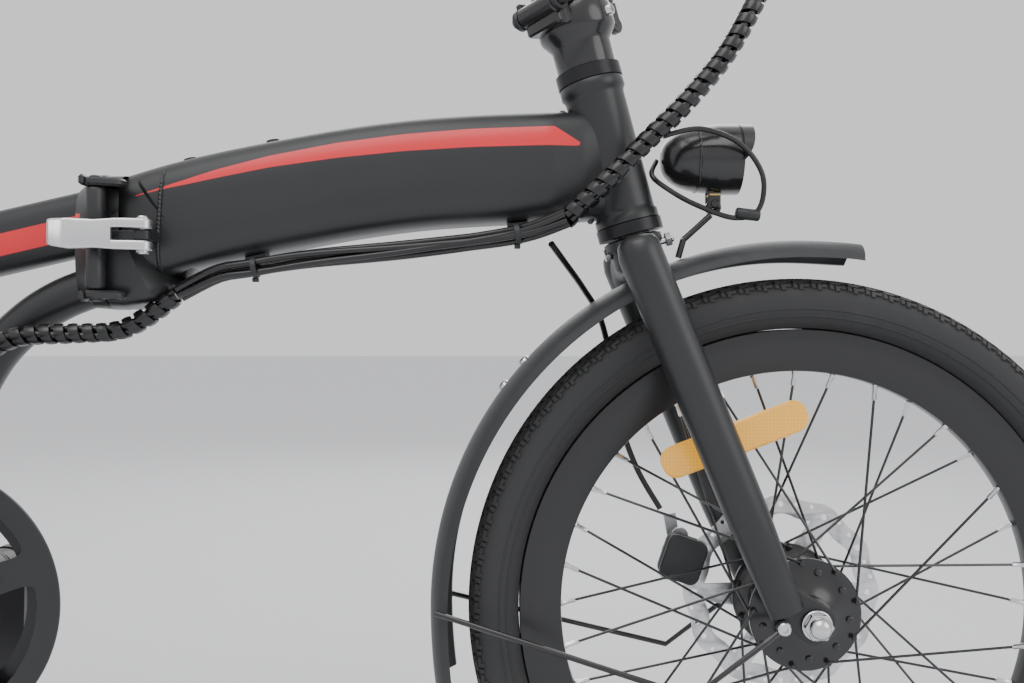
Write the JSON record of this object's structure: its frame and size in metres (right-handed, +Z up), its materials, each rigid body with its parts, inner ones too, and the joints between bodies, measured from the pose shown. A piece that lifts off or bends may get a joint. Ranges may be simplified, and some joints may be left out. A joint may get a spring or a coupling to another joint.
{
  "type": "folding electric bicycle",
  "caption": "Compact folding bicycle with electric hub drive, hinged main beam, folding handlepost, disc brakes, fenders and lamps.",
  "frame": {"origin": "middle of the floor footprint's length, in the wheel plane, at floor level", "axes": "+X forward along the wheels, +Y to the rider's left, +Z up"},
  "size_m": [1.5793, 0.567, 1.0638],
  "materials": {
    "satin_frame": "satin black paint with a red stripe on beam and rear tube",
    "black_metal": "semi-gloss black",
    "black_plastic": "moulded",
    "tyre": "treaded",
    "rim": "gloss black",
    "spoke": "black with silver nipples",
    "steel": "machined",
    "cast_alloy": "tumbled",
    "crank_alloy": "black",
    "post_alloy": "black anodised",
    "rubber": "matt",
    "leather": "grained",
    "rail_steel": "black oxide",
    "chain": "oiled",
    "lamp_glass": "clear",
    "tail_red": "red lens",
    "case_alloy": "finned case",
    "key_red": "moulded"
  },
  "bodies": {
    "rear_frame": {"rear_frame": "satin_frame", "frame_hinge_pin": "steel", "seat_clamp": "cast_alloy", "bb_cartridge": "steel", "rear_axle": "steel", "rear_fender": "black_plastic", "rear_caliper": "cast_alloy", "tail_light": "tail_red", "controller": "case_alloy", "chain": "chain", "rear_loom": "rubber"},
    "rear_brake_arm": {"rear_brake_arm": "cast_alloy"},
    "seatpost": {"seatpost": "post_alloy", "saddle_clamp": "rail_steel", "saddle": "leather"},
    "seat_clamp_lever": {"seat_clamp_lever": "cast_alloy"},
    "kickstand": {"kickstand": "black_metal"},
    "rear_wheel": {"rear_tyre": "tyre", "rear_rim": "rim", "rear_spokes": "spoke", "hub_motor": "black_metal", "rear_rotor": "steel"},
    "freewheel": {"freewheel": "steel"},
    "crank": {"right_crank": "crank_alloy", "chain_guard": "black_metal", "left_crank": "crank_alloy", "crank_axles": "steel"},
    "right_pedal": {"right_pedal": "black_plastic"},
    "left_pedal": {"left_pedal": "black_plastic"},
    "front_frame": {"front_frame": "satin_frame", "headset_cups": "black_metal", "battery_pack": "case_alloy", "beam_cables": "rubber", "beam_fittings": "black_plastic", "front_cables": "rubber"},
    "frame_lever": {"frame_lever": "cast_alloy"},
    "fork": {"fork": "satin_frame", "stem_base": "black_metal", "front_fender": "black_plastic", "front_fender_stays": "black_metal", "front_axle": "steel", "front_caliper": "cast_alloy", "headlight_bracket": "black_metal", "fork_fasteners": "steel"},
    "front_brake_arm": {"front_brake_arm": "cast_alloy"},
    "headlight": {"headlight_shell": "black_plastic", "headlight_lens": "lamp_glass"},
    "front_wheel": {"front_tyre": "tyre", "front_rim": "rim", "front_spokes": "spoke", "front_hub": "black_metal", "front_rotor": "steel"},
    "handlepost": {"handlepost": "satin_frame", "handlebar": "black_metal", "grips": "rubber", "bar_controls": "black_plastic"},
    "power_button": {"power_button": "key_red"},
    "stem_lever": {"stem_lever": "black_metal"},
    "left_brake_lever": {"left_brake_lever": "black_metal"},
    "right_brake_lever": {"right_brake_lever": "black_metal"}
  },
  "joints": [
    {"name": "frame_fold", "type": "hinge", "parent": "rear_frame", "child": "front_frame", "pos_m": [0.019, 0.038, 0.532], "axis": [0, 0, 1], "range_deg": [0, 160], "deforming": ["rear_loom"]},
    {"name": "steering", "type": "hinge", "parent": "front_frame", "child": "fork", "pos_m": [0.41027, 0, 0.54781], "axis": [-0.2571, 0, 0.9664], "range_deg": [-45, 45], "deforming": ["front_cables"]},
    {"name": "stem_fold", "type": "hinge", "parent": "fork", "child": "handlepost", "pos_m": [0.34059, -0.02687, 0.70519], "axis": [0.6833, -0.7071, 0.1818], "range_deg": [0, 160], "deforming": ["front_cables"]},
    {"name": "headlight_tilt", "type": "hinge", "parent": "fork", "child": "headlight", "pos_m": [0.476, 0, 0.561], "axis": [0, 1, 0], "range_deg": [-12, 18]},
    {"name": "front_wheel_spin", "type": "hinge", "parent": "fork", "child": "front_wheel", "pos_m": [0.539, 0, 0.253], "axis": [0, 1, 0], "continuous": true},
    {"name": "front_brake_arm_pivot", "type": "hinge", "parent": "fork", "child": "front_brake_arm", "pos_m": [0.45769, 0.062, 0.281], "axis": [0, 1, 0], "range_deg": [0, 18]},
    {"name": "frame_lever_pivot", "type": "hinge", "parent": "front_frame", "child": "frame_lever", "pos_m": [0.052, -0.05, 0.534], "axis": [0, 0, 1], "range_deg": [0, 120]},
    {"name": "stem_lever_pivot", "type": "hinge", "parent": "fork", "child": "stem_lever", "pos_m": [0.3956, 0.02687, 0.70741], "axis": [-0.6833, 0.7071, -0.1818], "range_deg": [0, 120]},
    {"name": "seatpost_slide", "type": "slide", "parent": "rear_frame", "child": "seatpost", "axis": [-0.2924, 0, 0.9563], "range_m": [-0.14, 0.02]},
    {"name": "seat_lever_pivot", "type": "hinge", "parent": "rear_frame", "child": "seat_clamp_lever", "pos_m": [-0.22025, 0.018, 0.53737], "axis": [-0.2924, 0, 0.9563], "range_deg": [0, 130]},
    {"name": "kickstand_fold", "type": "hinge", "parent": "rear_frame", "child": "kickstand", "pos_m": [-0.341, 0.062, 0.241], "axis": [0, 0.9703, 0.2419], "range_deg": [0, 80]},
    {"name": "rear_wheel_spin", "type": "hinge", "parent": "rear_frame", "child": "rear_wheel", "pos_m": [-0.511, 0, 0.253], "axis": [0, 1, 0], "continuous": true},
    {"name": "crank_spin", "type": "hinge", "parent": "rear_frame", "child": "crank", "pos_m": [-0.106, 0, 0.268], "axis": [0, 1, 0], "continuous": true},
    {"name": "freewheel_spin", "type": "hinge", "parent": "rear_frame", "child": "freewheel", "pos_m": [-0.511, 0, 0.253], "axis": [0, 1, 0], "continuous": true},
    {"name": "right_pedal_spin", "type": "hinge", "parent": "crank", "child": "right_pedal", "pos_m": [-0.106, -0.122, 0.433], "axis": [0, 1, 0], "continuous": true},
    {"name": "left_pedal_spin", "type": "hinge", "parent": "crank", "child": "left_pedal", "pos_m": [-0.106, 0.122, 0.103], "axis": [0, 1, 0], "continuous": true},
    {"name": "rear_brake_arm_pivot", "type": "hinge", "parent": "rear_frame", "child": "rear_brake_arm", "pos_m": [-0.49903, 0.07, 0.33816], "axis": [0, 1, 0], "range_deg": [0, 18]},
    {"name": "left_brake_lever_pivot", "type": "hinge", "parent": "handlepost", "child": "left_brake_lever", "pos_m": [0.32275, 0.14434, 1.02088], "axis": [0.156, 0.0425, 0.9868], "range_deg": [0, 15], "stiffness_Nm_per_rad": 2},
    {"name": "right_brake_lever_pivot", "type": "hinge", "parent": "handlepost", "child": "right_brake_lever", "pos_m": [0.32275, -0.14434, 1.02088], "axis": [-0.156, 0.0425, -0.9868], "range_deg": [0, 15], "stiffness_Nm_per_rad": 2},
    {"name": "power_button_press", "type": "slide", "parent": "handlepost", "child": "power_button", "axis": [0.2571, 0, -0.9664], "range_m": [0, 0.0015], "stiffness_N_per_m": 600}
  ],
  "couplings": [
    {"joint": "freewheel_spin", "follows": "crank_spin", "ratio": 2.75},
    {"joint": "front_brake_arm_pivot", "follows": "left_brake_lever_pivot", "ratio": 1.2},
    {"joint": "rear_brake_arm_pivot", "follows": "right_brake_lever_pivot", "ratio": 1.2}
  ]
}
